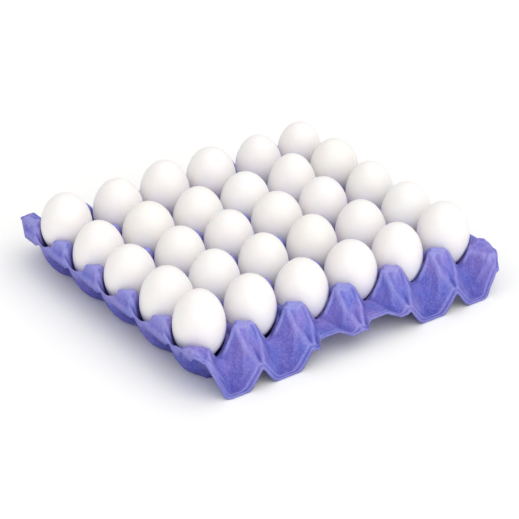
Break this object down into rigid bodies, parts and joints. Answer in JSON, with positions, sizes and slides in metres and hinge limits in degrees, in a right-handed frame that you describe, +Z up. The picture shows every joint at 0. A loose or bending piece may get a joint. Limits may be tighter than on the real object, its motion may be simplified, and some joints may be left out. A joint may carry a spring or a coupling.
{
  "type": "egg tray with eggs",
  "caption": "Open moulded pulp egg tray, blue violet, with cone posts, wavy skirts and finger ledges, filled with white eggs that stand pointed end up in its cells.",
  "frame": {"origin": "middle of the tray's outline, on the ground under its feet", "axes": "+X along the side with six cells, +Y along the side with five cells, towards the back, +Z up"},
  "size_m": [0.301, 0.2913, 0.0744],
  "materials": {
    "pulp": "matte moulded pulp dyed blue violet",
    "shell": "white eggshell, fine pores, soft sheen"
  },
  "bodies": {
    "root": {"tray": "pulp", "egg_1_1": "shell", "egg_1_2": "shell", "egg_1_3": "shell", "egg_1_4": "shell", "egg_1_5": "shell", "egg_1_6": "shell", "egg_2_1": "shell", "egg_2_2": "shell", "egg_2_3": "shell", "egg_2_4": "shell", "egg_2_5": "shell", "egg_2_6": "shell", "egg_3_1": "shell", "egg_3_2": "shell", "egg_3_3": "shell", "egg_3_4": "shell", "egg_3_5": "shell", "egg_3_6": "shell", "egg_4_1": "shell", "egg_4_2": "shell", "egg_4_3": "shell", "egg_4_4": "shell", "egg_4_5": "shell", "egg_4_6": "shell", "egg_5_1": "shell", "egg_5_2": "shell", "egg_5_3": "shell", "egg_5_4": "shell", "egg_5_5": "shell", "egg_5_6": "shell"}
  },
  "joints": []
}
